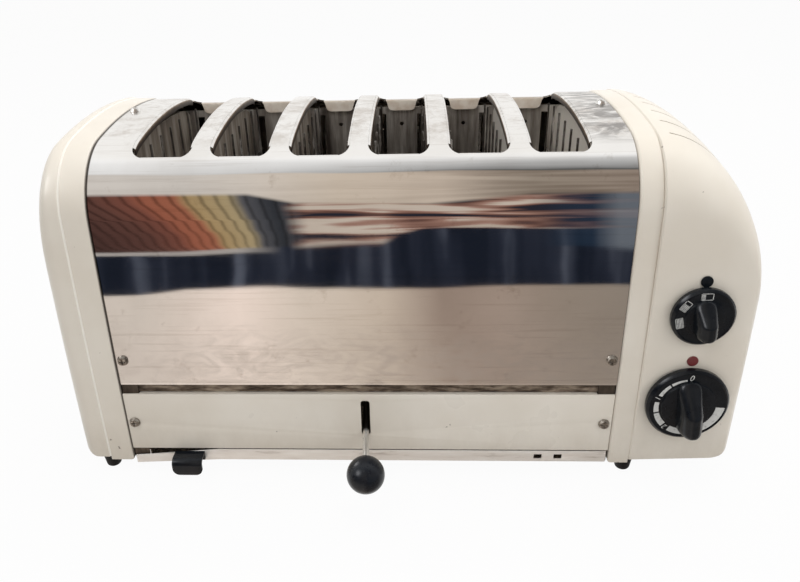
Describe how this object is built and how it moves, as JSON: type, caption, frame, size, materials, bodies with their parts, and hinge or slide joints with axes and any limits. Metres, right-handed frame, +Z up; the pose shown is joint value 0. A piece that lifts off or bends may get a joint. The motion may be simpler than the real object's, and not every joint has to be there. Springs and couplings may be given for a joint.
{
  "type": "toaster",
  "caption": "Multi-slot bread toaster with a hand-worked ejector lever, timer and selector knobs and a slide-out crumb tray.",
  "frame": {"origin": "centre of the whole toaster's bounding box in plan, lever ball included, at the bottom of the feet", "axes": "+X along the row of slots, towards the end with the controls; -Y is the front, with lever and knobs; +Z up"},
  "size_m": [0.462, 0.2666, 0.2432],
  "materials": {
    "stainless": "polished sheet with a light haze and fine scratches",
    "enamel": "satin cream stoving enamel with small chips",
    "zinc_steel": "dull plated sheet, browned by heat",
    "bright_wire": "bright drawn wire",
    "plain_steel": "plain turned and drawn steel",
    "mica_board": "brown heat-resistant board",
    "black_gloss": "black moulded plastic, satin gloss",
    "black_matte": "dark moulded plastic",
    "rubber_foot": "black rubber",
    "red_lens": "dull red translucent lens"
  },
  "bodies": {
    "housing": {"body_cover": "stainless", "left_end_casting": "enamel", "right_end_casting": "enamel", "lower_front_panel": "enamel", "lower_rear_panel": "enamel", "inlet_bush": "black_matte", "left_inner_plate": "zinc_steel", "right_inner_plate": "zinc_steel", "front_rail": "zinc_steel", "rear_rail": "zinc_steel", "front_guide_plate": "zinc_steel", "rear_guide_plate": "zinc_steel", "heat_shields": "zinc_steel", "tray_runners": "zinc_steel", "bus_bars": "plain_steel", "guide_posts": "plain_steel", "cover_screws": "plain_steel", "panel_screws": "plain_steel", "casting_screws": "plain_steel", "feet": "rubber_foot", "control_plate": "zinc_steel", "timer_body": "zinc_steel", "selector_switch": "black_matte", "pilot_lens": "red_lens", "pilot_lamp": "black_matte", "index_plug": "black_gloss", "terminal_block": "black_matte", "heating_element_1": "mica_board", "heating_element_2": "mica_board", "heating_element_3": "mica_board", "heating_element_4": "mica_board", "heating_element_5": "mica_board", "heating_element_6": "mica_board", "heating_element_7": "mica_board", "bread_guard_1": "bright_wire", "bread_guard_2": "bright_wire", "bread_guard_3": "bright_wire", "bread_guard_4": "bright_wire", "bread_guard_5": "bright_wire", "bread_guard_6": "bright_wire"},
    "ejector": {"ejector_bars": "zinc_steel", "ejector_side_bars": "zinc_steel", "guide_bushes": "plain_steel", "rest_stems": "zinc_steel", "lever_rod": "plain_steel", "lever_ball": "black_gloss", "bread_rest_1": "zinc_steel", "bread_rest_2": "zinc_steel", "bread_rest_3": "zinc_steel", "bread_rest_4": "zinc_steel", "bread_rest_5": "zinc_steel", "bread_rest_6": "zinc_steel"},
    "tray": {"crumb_tray": "zinc_steel", "tray_handle": "black_gloss"},
    "timer": {"timer_knob": "black_gloss", "timer_spindle": "plain_steel"},
    "selector": {"selector_knob": "black_gloss", "selector_spindle": "plain_steel"}
  },
  "joints": [
    {"name": "ejector_lift", "type": "slide", "parent": "housing", "child": "ejector", "axis": [0, 0, 1], "range_m": [0, 0.022]},
    {"name": "timer_turn", "type": "hinge", "parent": "housing", "child": "timer", "pos_m": [0.1928, -0.07954, 0.0656], "axis": [0, 1, 0], "range_deg": [0, 255]},
    {"name": "selector_turn", "type": "hinge", "parent": "housing", "child": "selector", "pos_m": [0.1928, -0.07954, 0.131], "axis": [0, 1, 0], "range_deg": [0, 90]},
    {"name": "crumb_tray_slide", "type": "slide", "parent": "housing", "child": "tray", "axis": [0, -1, 0], "range_m": [0, 0.19]}
  ]
}
